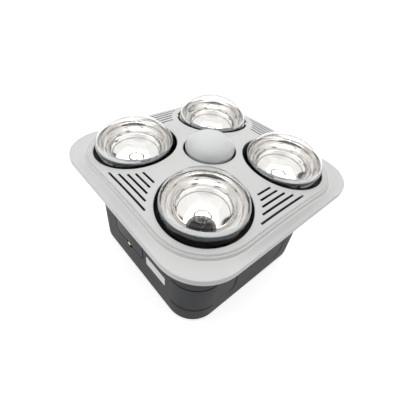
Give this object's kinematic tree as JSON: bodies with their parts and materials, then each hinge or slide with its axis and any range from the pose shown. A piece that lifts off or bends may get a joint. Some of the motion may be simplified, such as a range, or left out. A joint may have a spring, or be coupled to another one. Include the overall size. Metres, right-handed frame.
{
  "type": "bathroom ceiling heater",
  "caption": "Ceiling heater and exhaust fan: square crowned fascia with slotted sides, domed heat lamps round an opal light, dark tub housing with side duct spigot.",
  "frame": {"origin": "centre of the housing's flat back face, on which the heater lies in the picture", "axes": "+Z from the back of the housing to the room side of the fascia, +Y towards the wall with the duct spigot, the terminal cover's wall faces -Y"},
  "size_m": [0.36, 0.36, 0.249],
  "materials": {
    "fascia_plastic": "satin",
    "housing_plastic": "matte",
    "black_enamel": "satin",
    "motor_enamel": "satin",
    "lamp_glass": "clear, silvered bowl",
    "opal_glass": "opal",
    "lamp_cap": "nickel plated",
    "porcelain": "glazed",
    "zinc_steel": "zinc plated",
    "brass": "bright",
    "fan_plastic": "moulded",
    "terminal_plastic": "moulded"
  },
  "bodies": {
    "root": {"blower_base": "zinc_steel", "blower_screw_1": "zinc_steel", "blower_screw_2": "zinc_steel", "blower_screw_3": "zinc_steel", "blower_screw_4": "zinc_steel", "blower_scroll": "fan_plastic", "cord_clamp": "terminal_plastic", "cover_screw": "brass", "damper_pin": "zinc_steel", "duct_spigot": "housing_plastic", "fan_capacitor": "terminal_plastic", "fan_motor": "motor_enamel", "heat_shield": "black_enamel", "holder_bracket_1": "zinc_steel", "holder_bracket_2": "zinc_steel", "holder_bracket_3": "zinc_steel", "holder_bracket_4": "zinc_steel", "housing": "housing_plastic", "lampholder_1": "porcelain", "lampholder_2": "porcelain", "lampholder_3": "porcelain", "lampholder_4": "porcelain", "light_cup": "black_enamel", "light_holder": "porcelain", "spigot_screw_1": "zinc_steel", "spigot_screw_2": "zinc_steel", "spigot_screw_3": "zinc_steel", "spigot_screw_4": "zinc_steel", "terminal_block": "terminal_plastic", "terminal_box": "housing_plastic", "terminal_cover": "housing_plastic"},
    "fan": {"fan_impeller": "fan_plastic", "fan_shaft": "zinc_steel"},
    "fascia": {"fascia": "fascia_plastic", "fascia_clip_left": "zinc_steel", "fascia_clip_right": "zinc_steel"},
    "centre_light": {"light_glass": "opal_glass", "light_cap": "lamp_cap"},
    "damper_left": {"damper_flap_left": "fan_plastic"},
    "damper_right": {"damper_flap_right": "fan_plastic"},
    "lamp_1": {"lamp_glass_1": "lamp_glass", "lamp_cap_1": "lamp_cap", "lamp_stem_1": "lamp_glass"},
    "lamp_2": {"lamp_glass_2": "lamp_glass", "lamp_cap_2": "lamp_cap", "lamp_stem_2": "lamp_glass"},
    "lamp_3": {"lamp_glass_3": "lamp_glass", "lamp_cap_3": "lamp_cap", "lamp_stem_3": "lamp_glass"},
    "lamp_4": {"lamp_glass_4": "lamp_glass", "lamp_cap_4": "lamp_cap", "lamp_stem_4": "lamp_glass"}
  },
  "joints": [
    {"name": "fan_spin", "type": "hinge", "parent": "root", "child": "fan", "pos_m": [-0.014, -0.008, 0.045], "axis": [0, 0, 1], "continuous": true},
    {"name": "fascia_pull", "type": "slide", "parent": "root", "child": "fascia", "axis": [0, 0, 1], "range_m": [0, 0.06]},
    {"name": "damper_left_swing", "type": "hinge", "parent": "root", "child": "damper_left", "pos_m": [0.031, 0.1545, 0.0668], "axis": [0, 0, -1], "range_deg": [0, 70], "stiffness_Nm_per_rad": 0.002},
    {"name": "damper_right_swing", "type": "hinge", "parent": "root", "child": "damper_right", "pos_m": [0.031, 0.1545, 0.0668], "axis": [0, 0, 1], "range_deg": [0, 70], "stiffness_Nm_per_rad": 0.002},
    {"name": "centre_light_unscrew", "type": "hinge", "parent": "root", "child": "centre_light", "pos_m": [0, 0, 0.14], "axis": [0, 0, 1], "range_deg": [0, 1080]},
    {"name": "lamp_1_unscrew", "type": "hinge", "parent": "root", "child": "lamp_1", "pos_m": [0.085, -0.085, 0.08], "axis": [0, 0, 1], "range_deg": [0, 1080]},
    {"name": "lamp_2_unscrew", "type": "hinge", "parent": "root", "child": "lamp_2", "pos_m": [-0.085, -0.085, 0.08], "axis": [0, 0, 1], "range_deg": [0, 1080]},
    {"name": "lamp_3_unscrew", "type": "hinge", "parent": "root", "child": "lamp_3", "pos_m": [0.085, 0.085, 0.08], "axis": [0, 0, 1], "range_deg": [0, 1080]},
    {"name": "lamp_4_unscrew", "type": "hinge", "parent": "root", "child": "lamp_4", "pos_m": [-0.085, 0.085, 0.08], "axis": [0, 0, 1], "range_deg": [0, 1080]}
  ]
}
